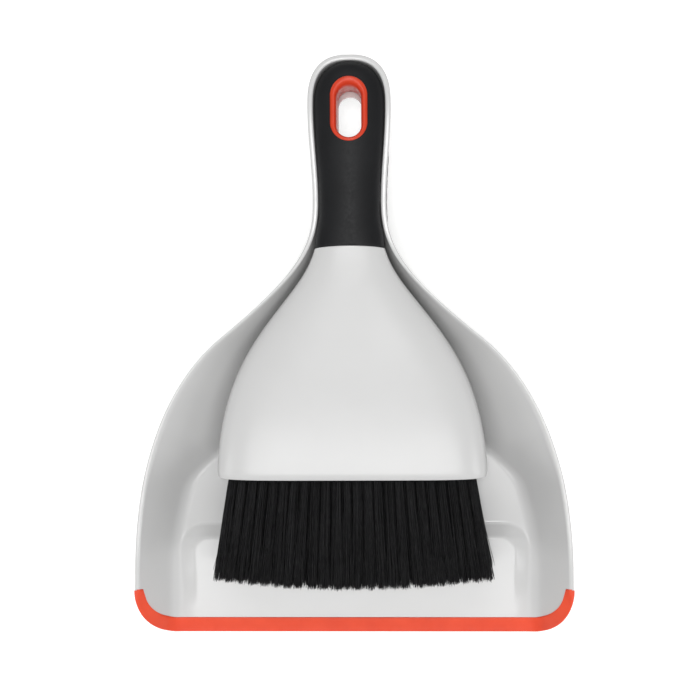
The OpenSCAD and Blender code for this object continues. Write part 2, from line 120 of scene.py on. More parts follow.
SOCKET_LIP, EDGE_R = 0.5, 2.4        # the ledge in the mouth, and the rounding of its edge
GRIP_TIP_N = 2.4

TUFTS_N, TUFT_PITCH, ROW_PITCH = 24, 5.6, 5.3
HOLE_R, TUFT_TIP_R, BRISTLE_L = 1.9, 3.0, 65.0
SPLAY, ROW_SPLAY = math.radians(8.6), math.radians(2.0)
TRIM_ROUND = 4.5          # how much shorter the tufts at the ends are
FILAMENTS = 110           # filaments in a tuft
FILAMENT_R = 0.15
FILAMENT_US = (0.0, 0.12, 0.35, 0.65, 0.96, 1.0)
STRAYS = 0.012            # share of the filaments that stand out


# ---------------------------------------------------------------- curves
def mix(a, b, t):
    return a + (b - a) * t


def ease(t):
    u = np.clip(t, 0.0, 1.0)
    return u * u * (3.0 - 2.0 * u)


def slope(t, soft=0.22):
    """From 0 to 1 along a straight line that is rounded over the first and the last part."""
    u = np.clip(t, 0.0, 1.0)
    low = u * u / (2 * soft * (1 - soft))
    high = 1 - (1 - u) ** 2 / (2 * soft * (1 - soft))
    return np.where(u < soft, low, np.where(u > 1 - soft, high, (u - soft / 2) / (1 - soft)))


def bezier(p, t):
    """Points of the cubic curve with the four control points p."""
    t = np.asarray(t, float)[..., None]
    return (1 - t) ** 3 * p[0] + 3 * t * (1 - t) ** 2 * p[1] + 3 * t * t * (1 - t) * p[2] + t ** 3 * p[3]


def signed_pow(v, p):
    return np.sign(v) * np.abs(v) ** p


def rim_tables():
    """Y and half width of the pan's rim, from the lip to where the tip begins."""
    angle = math.radians(SHOULDER_TURN)
    d = np.array([math.sin(angle), -math.cos(angle)])
    front = [np.array([HALF_W, SIDE_Y]), np.array([HALF_W, SIDE_Y + SIDE_RUN]),
             SHOULDER + FRONT_RUN * d, SHOULDER]
    back = [SHOULDER, SHOULDER - BACK_RUN * d,
            np.array([NECK_HALF, NECK_Y - NECK_RUN]), np.array([NECK_HALF, NECK_Y])]
    t = np.linspace(0, 1, 80)
    u = np.linspace(0, 1, 40)
    handle = np.stack([mix(NECK_HALF, TIP_HALF, ease(u)), mix(NECK_Y, TIP_START, u)], 1)
    points = np.vstack([[[HALF_W, FRONT_Y]], bezier(front, t), bezier(back, t)[1:], handle[1:]])
    return points[:, 1], points[:, 0]


RIM_YS, RIM_XS = rim_tables()


def rim_x(y):
    """Half width of the rim."""
    return np.interp(y, RIM_YS, RIM_XS)


def rim_z(y):
    """Height of the rim."""
    body = mix(RIM_FRONT, RIM_NECK, ease((y - SIDE_Y) / (NECK_Y - SIDE_Y)))
    handle = mix(RIM_NECK, RIM_TIP, ease((y - NECK_Y) / (TIP_START - NECK_Y)))
    return np.where(y < NECK_Y, body, handle)


def wall_at(y):
    """Thickness of the pan's wall."""
    return mix(PAN_WALL, HANDLE_WALL, ease((y - RISE[0]) / (NECK_Y - RISE[0])))


def lean(y):
    """How far the wall runs inwards for each millimetre of its height."""
    turn = SHOULDER[1] - LEAN_TURN
    front = mix(LEAN_FRONT, LEAN_SHOULDER, ease((y - FRONT_Y - LEAN_FROM) / LEAN_OVER))
    back = mix(LEAN_SHOULDER, LEAN_HANDLE, ease((y - turn) / LEAN_BACK))
    return np.where(y < turn, front, back)


# ---------------------------------------------------------------- the pan's cross-section
FLOOR, ARC, WALL = 0, 1, 2


def ramp_height(x, y):
    """Rise of the floor at a point in plan: a ramp up from the lip, with a slope behind and at the sides."""
    along = np.clip((y - FRONT_Y - LIP_W) / (RIDGE_Y - FRONT_Y - LIP_W), 0.0, 1.0)
    half = RAMP_HALF - RAMP_TAPER * (1.0 - along)
    dx = np.abs(x) - (half - RAMP_R)
    dy = y - (RIDGE_Y - RAMP_R)
    corner = np.hypot(np.maximum(dx, 0), np.maximum(dy, 0))
    outside = corner + np.minimum(np.maximum(dx, dy), 0) - RAMP_R
    return RAMP_H * along ** RAMP_BOW * (1.0 - slope((outside + RAMP_LEAD) / (RAMP_DROP + RAMP_LEAD)))


def section(kind, t, e, y):
    """Points of the right half of the pan at y, e inside the outer surface: kind and t say where on it."""
    z0 = CHANNEL_Z * ease((y - RISE[0]) / (RISE[1] - RISE[0]))
    top_x, top_z = rim_x(y), rim_z(y)
    h = top_z - z0
    x0 = top_x - lean(y) * h
    a = np.arctan2(h, top_x - x0)
    r = mix(FLOOR_R, CHANNEL_R, ease((y - RISE[0]) / CORNER_OVER))
    cx, cz = x0 - r * np.tan(a / 2), z0 + r
    b = np.where(kind == ARC, a * t, a)
    arc_x, arc_z = cx + (r - e) * np.sin(b), cz - (r - e) * np.cos(b)
    wall_x = mix(arc_x, top_x - e / np.sin(a), t)
    wall_z = mix(arc_z, top_z, t)
    x = np.select([kind == FLOOR, kind == ARC], [cx * t, arc_x], wall_x)
    z = np.select([kind == FLOOR, kind == ARC], [z0 + e + 0 * x, arc_z], wall_z)
    low = np.where(kind == WALL, 0.0, 1.0) * (z0 < 1.0)
    return x, z + low * ramp_height(x, y)


def surface_samples():
    """(kind, t) from the middle of the floor to the rim, closer where the ramp's side and the corners are."""
    floor = np.concatenate([np.linspace(0, 0.72, 9), np.linspace(0.74, 1.0, 28)])
    arc = np.linspace(0, 1, 11)[1:]
    wall = 1 - (1 - np.linspace(0, 1, 15)[1:]) ** 1.7
    kinds = [FLOOR] * len(floor) + [ARC] * len(arc) + [WALL] * len(wall)
    return np.array(kinds), np.concatenate([floor, arc, wall])


KINDS, TS = surface_samples()
LAST = len(KINDS)


def profile(wall):
    """The half section's loop, inner surface out to the rim and back under: kinds, ts and depths."""
    cut = RIM_ROUND / RIM_RUN
    angles = np.radians(np.linspace(0, 90, RIM_STEPS))
    kinds = np.concatenate([KINDS, [WALL] * (2 * RIM_STEPS - 2), KINDS[::-1]])
    ts_in = np.where(KINDS == WALL, TS * (1 - cut), TS)
    up = (1 - cut) + cut * np.sin(angles[1:])
    down = (1 - cut) + cut * np.cos(angles[:-1])
    ts = np.concatenate([ts_in, up, down, ts_in[::-1]])
    e_up = wall - RIM_ROUND * (1 - np.cos(angles[1:]))
    e_down = RIM_ROUND * (1 - np.sin(angles[:-1]))
    es = np.concatenate([np.full(LAST, 1.0) * wall, e_up, e_down, np.zeros(LAST)])
    return kinds, ts, es


PROFILE_N = 2 * LAST + 2 * RIM_STEPS - 2


def edge_x():
    """X of each profile point where the side rims begin: it sets how far the front edges turn back there."""
    kinds, ts, _ = profile(PAN_WALL)
    return section(kinds, ts, 0.0, np.full(PROFILE_N, SIDE_Y))[0]


def edge_y(x, off, inset, ends):
    """Y of an edge that runs off behind the lip's edge and turns back round the corners, cut in by inset."""
    q = np.clip((x - HALF_W + CORNER_IN) / (CORNER_IN - inset), 0, 1)
    return FRONT_Y + off + (CORNER_BACK - off + ends) * (1 - np.sqrt(1 - q * q))


def lip_edge_y(x):
    """The lip's own front edge."""
    return edge_y(x, 0.0, 0.0, -0.5)


def pan_edge_y(x):
    """The pan's front edge, which lies inside the lip."""
    return edge_y(x, LIP_W * EDGE_SHARE, LIP_TAIL * 0.5, 0.0)


def step_y(x):
    """The step in the pan's surface where the lip ends."""
    return edge_y(x, LIP_W, LIP_TAIL, 0.5)


# ---------------------------------------------------------------- meshes
def new_object(name, points, faces, smooth=True):
    """A mesh object from points in millimetres."""
    mesh = bpy.data.meshes.new(name)
    mesh.from_pydata((np.asarray(points) * MM).tolist(), [], faces)
    mesh.validate()
    mesh.update()
    if smooth:
        mesh.shade_smooth()
    obj = bpy.data.objects.new(name, mesh)
    bpy.context.scene.collection.objects.link(obj)
    return obj


def tube_faces(rings, columns):
    """Quads between closed rings of points that are stored one after the other."""
    faces = []
    for i in range(rings - 1):
        for j in range(columns):
            a, b = i * columns + j, i * columns + (j + 1) % columns
            faces.append((a, b, b + columns, a + columns))
    return faces


def end_faces(rings, columns):
    """A face over the first ring and one over the last."""
    first = (rings - 1) * columns
    return [tuple(range(columns)), tuple(range(first + columns - 1, first - 1, -1))]


def flip(faces):
    return [tuple(reversed(f)) for f in faces]


def zip_faces(left, right):
    """Faces across a narrow gap between two lines of points of the same length."""
    faces = []
    for k in range(len(left) - 1):
        loop = [left[k], left[k + 1], right[k + 1], right[k]]
        loop = [v for i, v in enumerate(loop) if v not in loop[:i]]
        if len(loop) > 2:
            faces.append(tuple(loop))
    return faces


def recalc_normals(obj):
    bm = bmesh.new()
    bm.from_mesh(obj.data)
    bmesh.ops.recalc_face_normals(bm, faces=bm.faces)
    bm.to_mesh(obj.data)
    bm.free()


def sharpen(obj, degrees):
    """Smooth shading that keeps edges steeper than an angle."""
    obj.data.set_sharp_from_angle(angle=math.radians(degrees))


def join(name, parts):
    bpy.ops.object.select_all(action="DESELECT")
    for part in parts:
        part.select_set(True)
    bpy.context.view_layer.objects.active = parts[0]
    bpy.ops.object.join()
    parts[0].name = name
    parts[0].data.name = name
    return parts[0]


def carve(obj, cutter):
    """Takes the cutter out of the object."""
    mod = obj.modifiers.new("carve", "BOOLEAN")
    mod.operation = "DIFFERENCE"
    mod.solver = "EXACT"
    mod.object = cutter
    bpy.context.view_layer.objects.active = obj
    bpy.ops.object.modifier_apply(modifier=mod.name)
    bpy.data.objects.remove(cutter)
    return obj


def stadium(w, l, n=48):
    """A slot's outline with round ends, n points, centred on the origin."""
    r = w / 2
    angles = np.linspace(0, 2 * np.pi, n, endpoint=False) + np.pi / n
    x, y = r * np.cos(angles), r * np.sin(angles)
    return np.stack([x, y + np.where(y > 0, 1, -1) * (l - w) / 2], 1)


def prism(name, outline, y, z0, z1):
    """An upright solid between two heights, with its outline moved along Y."""
    n = len(outline)
    points = [[p[0], p[1] + y, z] for z in (z0, z1) for p in outline]
    faces = tube_faces(2, n) + [tuple(range(n - 1, -1, -1)), tuple(range(n, 2 * n))]
    return new_object(name, points, faces, smooth=False)


def finish_piece(obj, body, slot, material, *nodes):
    """Gives a piece its material and its body, and hides the CAD nodes that it stands for; the slot argument
    is not used.
    """
    obj.data.materials.clear()
    obj.data.materials.append(material)
    if nodes:
        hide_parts(*nodes)
    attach(obj, body)
    return obj


# ---------------------------------------------------------------- pan
def pan_stations():
    """Y of each section behind the lip, closer over the ramp's ridge and where the walls turn."""
    step = FRONT_Y + LIP_W
    foot = RIDGE_Y + RAMP_DROP
    return np.unique(np.concatenate([
        np.linspace(step + 2.5, RIDGE_Y - 20, 12), np.linspace(RIDGE_Y - 18, RIDGE_Y - 2, 14),
        np.linspace(RIDGE_Y - 1, foot + 1, 24), np.linspace(foot + 3, RISE[0], 42),
        np.linspace(RISE[0] + 2, NECK_Y, 30), np.linspace(NECK_Y + 3, TIP_START, 16)]))


def pan_ring(y_in, y_out, wall=None):
    """One closed ring round the pan's section. y_in and y_out give Y from the profile's x, on the inner and
    the outer surface. wall is the wall's thickness, or the pan's own at that place."""
    if wall is None:
        wall = float(wall_at(float(np.median(y_in(EDGE_X)))))
    kinds, ts, es = profile(wall)
    outer = np.arange(PROFILE_N) >= LAST + RIM_STEPS - 1
    ys = np.where(outer, y_out(EDGE_X), y_in(EDGE_X))
    x, z = section(kinds, ts, es, ys)
    half = np.stack([x, ys, z], 1)
    mirror = half[-2:0:-1] * [-1, 1, 1]
    return np.vstack([half, mirror])


def tip_ring(angle):
    """The section at TIP_START swept round the tip, angle from 0 to 90 degrees."""
    kinds, ts, es = profile(HANDLE_WALL)
    x, z = section(kinds, ts, es, np.full(PROFILE_N, TIP_START))
    c, s = math.cos(angle) ** (2 / TIP_N), math.sin(angle) ** (2 / TIP_N)
    reach = TIP_Y - TIP_START - TIP_HALF + x
    half = np.stack([x * c, TIP_START + reach * s, z], 1)
    return np.vstack([half, half[-2:0:-1] * [-1, 1, 1]])


EDGE_X = edge_x()


def build_pan():
    """The pan: rings from its front edge under the lip to the tip, closed at both ends and along the rims."""
    step0 = float(step_y(np.array([0.0]))[0])
    rings = [
        pan_ring(pan_edge_y, pan_edge_y, PAN_WALL - STEP_DEPTH),
        pan_ring(step_y, lambda x: mix(pan_edge_y(x), step_y(x), 0.6), PAN_WALL - STEP_DEPTH),
        pan_ring(step_y, lambda x: step_y(x) + 0.4, PAN_WALL),
        pan_ring(lambda x: step_y(x) + 1.2, lambda x: step_y(x) + 1.2, PAN_WALL)]
    for y in pan_stations():
        back = max(0.0, 1 - (y - step0) / BLEND_L)
        at = lambda x, y=y, back=back: y + (step_y(x) - step0) * back
        rings.append(pan_ring(at, at))
    for angle in np.radians(np.concatenate([np.linspace(4, 84, 25), [86.5, 88.3]])):
        rings.append(tip_ring(angle))
    points = np.vstack(rings)
    c = len(rings[0])
    n = PROFILE_N
    faces = tube_faces(len(rings), c)
    left = lambda k: (c - k) % c        # the point on the left that mirrors point k of a ring
    # the front end: the wall's thickness, and the rounded rim at each side
    right_in = list(range(LAST))
    right_out = [n - 1 - k for k in range(LAST)]
    faces += flip(zip_faces(right_in, right_out))
    faces += zip_faces([left(k) for k in right_in], [left(k) for k in right_out])
    rim = list(range(LAST - 1, n - LAST + 1))
    faces += [tuple(reversed(rim)), tuple(left(k) for k in rim)]
    # the back end: the last ring of the tip, folded shut
    base = (len(rings) - 1) * c
    faces += zip_faces([base + k for k in range(n)], [base + left(k) for k in range(n)])
    pan = new_object("pan_body_shell", points, faces)
    recalc_normals(pan)
    slot = prism("slot_cut", stadium(SLOT_W, SLOT_L), SLOT_Y, CHANNEL_Z - 5, CHANNEL_Z + 8)
    carve(pan, slot)
    ribs = [rib(side, y) for side in (-1, 1) for y in RIB_YS]
    pan = join("pan_body_shell", [pan] + ribs)
    sharpen(pan, 40)
    return pan


def grip_half(y):
    """Half width of the brush's grip where it lies in the channel."""
    at = min(TIP_START, max(NECK_Y, y))
    return float(rim_x(at)) - HANDLE_WALL / math.sin(math.atan(1 / LEAN_HANDLE)) - GRIP_GAP


def rib(side, y):
    """A small rounded rib on the channel's wall, beside the grip."""
    steps, r = 16, RIB_R
    grip = grip_half(y)
    rise = math.sqrt(1 - RIB_SHARE ** 2)
    fall = grip / GRIP_DOWN * RIB_SHARE / rise
    x = grip * rise + (r + RIB_GAP) * math.sqrt(1 + fall * fall)
    centre = np.array([side * x, y, GRIP_Z - RIB_SHARE * GRIP_DOWN])
    rings = []
    for a in np.radians(np.linspace(-85, 85, 13)):
        b = np.linspace(0, 2 * np.pi, steps, endpoint=False)
        shift = RIB_HALF_L * np.sign(a) if abs(a) > 0.05 else 0.0
        rings.append(np.stack([r * np.cos(a) * np.cos(b), np.full(steps, r * np.sin(a) + shift),
                               r * np.cos(a) * np.sin(b)], 1) + centre)
    faces = tube_faces(len(rings), steps) + end_faces(len(rings), steps)
    bar = new_object("rib", np.vstack(rings), faces)
    recalc_normals(bar)
    return bar


def build_lip():
    """The soft lip: v runs from its edge, 0, to the step in the floor, 1, and e is the height in the wall."""
    top = PAN_WALL + LIP_PROUD
    crown = [(v, mix(LIP_EDGE, top, ease(v * 0.75 + 0.06) * 1.13)) for v in np.linspace(0.1, 0.9, 9)]
    rear = [(1.0, PAN_WALL - STEP_DEPTH), (1.0, PAN_WALL - 0.12), (0.993, PAN_WALL + 0.2), (0.97, top - 0.08)]
    nose = [(0.045, LIP_EDGE * 0.98), (0.012, LIP_EDGE * 0.8), (0.0, LIP_EDGE * 0.45), (0.012, 0.12),
            (0.05, 0.0)]
    around = rear + [(v, e) for v, e in reversed(crown)] + nose
    kinds = np.concatenate([KINDS, [WALL] * 6])
    wall_ts = mix(TS[-2], 1.0, np.linspace(0, 1, 8)[1:-1])
    ts = np.concatenate([TS[:-1], wall_ts, TS[-1:]])
    ref = section(kinds, ts, 0.0, np.full(len(kinds), SIDE_Y))[0]
    lip, edge, step = lip_edge_y(ref), pan_edge_y(ref), step_y(ref)
    lines = []
    for v, e in around:
        y = mix(lip, step, v)
        x, z = section(kinds, ts, np.full(len(kinds), e), y)
        lines.append(np.stack([x, y, z], 1))
    for e in (0.0, PAN_WALL - STEP_DEPTH):
        x, z = section(kinds, ts, np.full(len(kinds), e), edge)
        lines.append(np.stack([x, edge, z], 1))
    half = np.stack(lines, 1)
    rings = np.concatenate([half[::-1], half[1:] * [-1, 1, 1]])
    m = rings.shape[1]
    faces = tube_faces(len(rings), m) + end_faces(len(rings), m)
    lip_obj = new_object("pan_lip_soft", rings.reshape(-1, 3), faces)
    recalc_normals(lip_obj)
    sharpen(lip_obj, 50)
    return lip_obj


def build_pan_grip():
    """The soft pad under the pan's handle, with shallow finger grooves across it."""
    y0, y1 = NECK_Y - PAD_BACK, NECK_Y + PAD_FRONT
    fold = 1.0 - (2.0 / 7.0) ** 2       # the height on the wall that PAD_REACH is a share of
    spots = [(FLOOR, t) for t in np.linspace(0, 1, 6)]
    spots += [(ARC, t) for t in np.linspace(0, 1, 12)[1:]]
    spots += [(WALL, t) for t in fold * PAD_REACH * np.linspace(0, 1, 14)[1:]]
    kinds = np.array([kind for kind, _ in spots])
    ts = np.array([t for _, t in spots])
    n = len(spots)
    across = np.arange(n) / (n - 1)
    rings = []
    for y in np.linspace(y0, y1, 67):
        u = (y - y0) / (y1 - y0)
        groove = GROOVE_DEPTH * max(0.0, math.sin(u * np.pi * GROOVE_HALVES)) ** 2 * (0.06 < u < 0.94)
        thick = PAD_T * (1 - across ** 6) * (1 - abs(2 * u - 1) ** 10) - groove * (1 - across ** 2)
        yy = np.full(n, y)
        in_x, in_z = section(kinds, ts, np.zeros(n), yy)
        inner = np.stack([in_x, yy, in_z], 1)
        out_x, out_z = section(kinds, ts, -np.maximum(0.35, thick), yy)
        outer = np.stack([out_x, yy, out_z], 1)
        half = np.vstack([inner, outer[::-1]])
        rings.append(np.vstack([half, half[-2:0:-1] * [-1, 1, 1]]))
    c = len(rings[0])
    faces = tube_faces(len(rings), c)
    for base, turn in ((0, flip), ((len(rings) - 1) * c, list)):
        right = [base + k for k in range(n)], [base + 2 * n - 1 - k for k in range(n)]
        left = [[base + (c - (k - base)) % c for k in line] for line in right]
        faces += turn(zip_faces(*right)) + turn(flip(zip_faces(*left)))
    pad = new_object("pan_grip_pad", np.vstack(rings), faces)
    recalc_normals(pad)
    sharpen(pad, 50)
    return pad


# ---------------------------------------------------------------- brush
RING_STEPS = 144


def brush_ring(y, z, half, up, down, n, tilt=0.0, bow=0.0):
    """A ring round the brush at y: half width, rise and depth from its widest line."""
    a = np.linspace(0, 2 * np.pi, RING_STEPS, endpoint=False)
    x = half * signed_pow(np.cos(a), 2 / n)
    w = np.where(np.sin(a) > 0, up, down) * signed_pow(np.sin(a), 2 / n)
    ys = y - w * math.sin(tilt) - bow * (x / max(half, 1e-6)) ** 2
    return np.stack([x, ys, z + w * math.cos(tilt)], 1)


def brush_solid(name, rings, sharp):
    """A closed mesh through rings of the brush, with a face over each end."""
    faces = tube_faces(len(rings), RING_STEPS) + end_faces(len(rings), RING_STEPS)
    obj = new_object(name, np.vstack(rings), faces)
    recalc_normals(obj)
    if sharp:
        sharpen(obj, sharp)
    return obj


HEAD_NECK_HALF = grip_half(NECK_Y) + HEAD_FLARE
HEAD_CURVE = np.array([[HEAD_NECK_HALF, GRIP_START], [HEAD_NECK_HALF + 10, GRIP_START - 34],
                       [HEAD_HALF_W - 3, MOUTH[1] + 75], [HEAD_HALF_W, MOUTH[1]]])


def head_ring(u, inset=0.0):
    """A ring of the head, u from 0 at the neck to 1 at the mouth."""
    x, y = bezier(HEAD_CURVE, u)
    v = (GRIP_START - y) / HEAD_L
    return brush_ring(y, mix(GRIP_Z - 1, MOUTH[2], v), x - inset,
                      mix(GRIP_UP + 1, HEAD_HALF_H, ease(v)) - inset,
                      mix(GRIP_DOWN + 1, HEAD_HALF_H, v) - inset, mix(NECK_N, MOUTH_N, ease(v)),
                      TILT * float(ease(v * 1.15)), NECK_BOW * (1 - float(ease(v * 4))))


def socket_ring(depth, inset):
    """A ring of the socket that the block sits in, depth behind the mouth."""
    y, z = MOUTH[1] + depth * math.cos(TILT), MOUTH[2] + depth * math.sin(TILT)
    half = HEAD_HALF_W - HEAD_WALL - SOCKET_LIP - inset
    tall = HEAD_HALF_H - HEAD_WALL - SOCKET_LIP - inset
    return brush_ring(y, z, half, tall, tall, MOUTH_N, TILT)


def build_head():
    """The head, from its joint with the grip to the rounded edge of its mouth and on into the socket."""
    edge = EDGE_R / HEAD_L * 1.05        # where the rounding begins, as a share of the head's length
    rings = [head_ring(0.0, 0.6), head_ring(0.0006, 0.2), head_ring(0.003, 0.02)]
    rings += [head_ring(u) for u in np.linspace(0.008, 1 - edge, 84)]
    for a in np.radians([15, 32, 50, 68, 82]):
        rings.append(head_ring(1 - edge * (1 - math.sin(a)), EDGE_R * (1 - math.cos(a)) * 0.42))
    rings += [head_ring(1.0, EDGE_R * 0.52), socket_ring(0.1, -0.25), socket_ring(0.5, 0.0),
              socket_ring(BLOCK_BACK + BLOCK_T + 1, 0.0)]
    return brush_solid("head_body", rings, 45)


def grip_ring(y, c=1.0, inset=0.0):
    """A ring of the grip. c is how much of its width is left, where the tip rounds off."""
    flare = HEAD_FLARE * float(ease((NECK_Y - 6 - y) / 18))
    s, v = c ** 0.8, float(ease((NECK_Y - 8 - y) / 16))
    return brush_ring(y, GRIP_Z - v, (grip_half(y) + flare) * c - inset, (GRIP_UP + v) * s - inset,
                      (GRIP_DOWN + v) * s - inset, mix(2.0, NECK_N, v), 0.0,
                      NECK_BOW * float(ease((GRIP_START + 10 - y) / 10)))


def build_grip():
    """The rubber sleeve, with the hang ring's seat and hole cut out of it."""
    reach, power = TIP_Y - GRIP_BACK - TIP_START, 2 / GRIP_TIP_N
    rings = [grip_ring(GRIP_START + 0.05, 1.0, 0.6), grip_ring(GRIP_START + 0.2, 1.0, 0.22),
             grip_ring(GRIP_START + 0.6, 1.0, 0.03)]
    rings += [grip_ring(y) for y in np.linspace(GRIP_START + 1.4, TIP_START, 60)]
    for a in np.radians(np.concatenate([np.linspace(6, 84, 26), [86.5, 88.5]])):
        rings.append(grip_ring(TIP_START + reach * math.sin(a) ** power, math.cos(a) ** power))
    grip = brush_solid("brush_grip_sleeve", rings, None)
    seat = stadium(FLANGE[0] - 0.3, FLANGE[1] - 0.3, 72)
    carve(grip, prism("cut", seat, FLANGE_Y, GRIP_Z + 5.0, GRIP_Z + 14))
    hole = stadium(RING_HOLE[0] + 2 * RING_WALL - 0.2, RING_HOLE[1] + 2 * RING_WALL - 0.2, 72)
    carve(grip, prism("cut", hole, RING_Y, GRIP_Z - 20, GRIP_Z + 8))
    sharpen(grip, 40)
    return grip


def build_ring():
    """The hang hole's liner: a domed flange that funnels down into the hole."""
    crown_r, drop, points_n = 26.0, 5.2, 96
    top = GRIP_UP + 0.55
    bottom = -GRIP_DOWN - 0.3
    hole_w, hole_l = RING_HOLE
    tube_w, tube_l = hole_w + 2 * RING_WALL, hole_l + 2 * RING_WALL
    # Each stage is a width, a length, a Y, a height, and how much the crown bends it down
    stages = [(tube_w, tube_l, RING_Y, bottom, 0), (tube_w, tube_l, RING_Y, GRIP_UP - 3.4, 0)]
    for inset, z, bend in ((0.6, GRIP_UP - 2.6, 0), (0, GRIP_UP - 0.35, 1), (0.25, top - 0.4, 1),
                           (0.9, top - 0.06, 1), (1.8, top, 1)):
        stages.append((FLANGE[0] - inset, FLANGE[1] - inset, FLANGE_Y, z, bend))
    for k in range(1, 11):
        u = k / 10
        v = ease(u * 0.5 + 0.5) * 2 - 1
        stages.append((mix(FLANGE[0] - 2.6, hole_w, v), mix(FLANGE[1] - 2.6, hole_l, v),
                       mix(FLANGE_Y, RING_Y, u), top - drop * u ** 2.1, 1 - u * 0.6))
    stages += [(hole_w, hole_l, RING_Y, -2.0, 0), (hole_w, hole_l, RING_Y, bottom + 0.5, 0),
               (hole_w + 0.6, hole_l + 0.6, RING_Y, bottom + 0.05, 0),
               (tube_w - 0.7, tube_l - 0.7, RING_Y, bottom - 0.02, 0)]
    rings = []
    for w, l, y, z, bend in stages:
        o = stadium(w, l, points_n)
        sag = bend * (crown_r - np.sqrt(crown_r ** 2 - o[:, 0] ** 2))
        rings.append(np.stack([o[:, 0], o[:, 1] + y, GRIP_Z + z - sag], 1))
    faces = tube_faces(len(rings), points_n)
    back = (len(rings) - 1) * points_n
    faces += [(back + j, back + (j + 1) % points_n, (j + 1) % points_n, j) for j in range(points_n)]
    ring = new_object("hang_ring_liner", np.vstack(rings), faces)
    recalc_normals(ring)
    sharpen(ring, 50)
    return ring


# ---------------------------------------------------------------- bristles
FILAMENT_RINGS = len(FILAMENT_US)


def mouth_to_frame(p):
    """Points in the mouth's axes, with -Y out along the bristles and Z across the rows, in the frame's."""
    c, s = math.cos(TILT), math.sin(TILT)
    y = p[..., 1] * c - p[..., 2] * s
    z = p[..., 1] * s + p[..., 2] * c
    return np.stack([p[..., 0], y, z], -1) + MOUTH


def build_row(k):
    """All the filaments of one row of tufts, each a thin bent three-sided rod with a tapered tip."""
    rng = np.random.default_rng(700 + k)
    n = TUFTS_N - (k + 1) % 2
    half_row = (TUFTS_N - 1) / 2 * TUFT_PITCH
    x_tuft = (np.arange(n) - (n - 1) / 2) * TUFT_PITCH
    z_tuft = (3 - k) * ROW_PITCH
    tuft = np.repeat(np.arange(n), FILAMENTS)
    count = n * FILAMENTS
    radius = np.sqrt(rng.random(count))
    turn = rng.random(count) * 2 * np.pi
    unit = np.stack([np.cos(turn), np.sin(turn)], 1) * radius[:, None]
    x0 = x_tuft[tuft]
    lean_x = SPLAY * x0 / half_row + np.repeat(rng.normal(0, 0.006, n), FILAMENTS)
    lean_z = ROW_SPLAY * (3 - k) / 2 + np.repeat(rng.normal(0, 0.004, n), FILAMENTS)
    length = BRISTLE_L - TRIM_ROUND * (x0 / half_row) ** 2 + rng.normal(-1.6, 0.4, count) - 0.7 * radius ** 3
    stray = rng.random(count) < STRAYS
    bend = rng.normal(0, 0.7, (count, 2)) * np.where(stray, 4.0, 1.0)[:, None]
    wave = rng.normal(0, 0.12, (count, 2))
    phase = rng.random(count) * 2 * np.pi
    points = []
    for i in range(FILAMENT_RINGS):
        u = FILAMENT_US[i]
        s = mix(-2.0, length, u)
        spread = mix(HOLE_R * 0.93, TUFT_TIP_R * 1.03, u ** 0.55)
        across = unit * spread + bend * (u ** 2) + wave * np.sin(u * 7.0 + phase)[:, None] * u
        cx = x0 + np.sin(lean_x) * s + across[:, 0]
        cz = z_tuft + np.sin(lean_z) * s + across[:, 1]
        cy = BLOCK_BACK - np.cos(lean_x) * s
        r = FILAMENT_R * (1.0 if i < FILAMENT_RINGS - 1 else 0.45)
        for j in range(3):
            a = 2 * np.pi * j / 3 + phase
            points.append(np.stack([cx + r * np.cos(a), cy, cz + r * np.sin(a)], 1))
    grid = mouth_to_frame(np.stack(points, 1))
    m = 3 * FILAMENT_RINGS
    one = tube_faces(FILAMENT_RINGS, 3) + [(2, 1, 0), (m - 3, m - 2, m - 1)]
    base = np.arange(count)[:, None] * m
    quads = (base[:, :, None] + np.array(one[:-2])[None]).reshape(-1, 4)
    ends = (base[:, :, None] + np.array(one[-2:])[None]).reshape(-1, 3)
    return new_object(f"tufts_row_{k}_filaments", grid.reshape(-1, 3), quads.tolist() + ends.tolist())


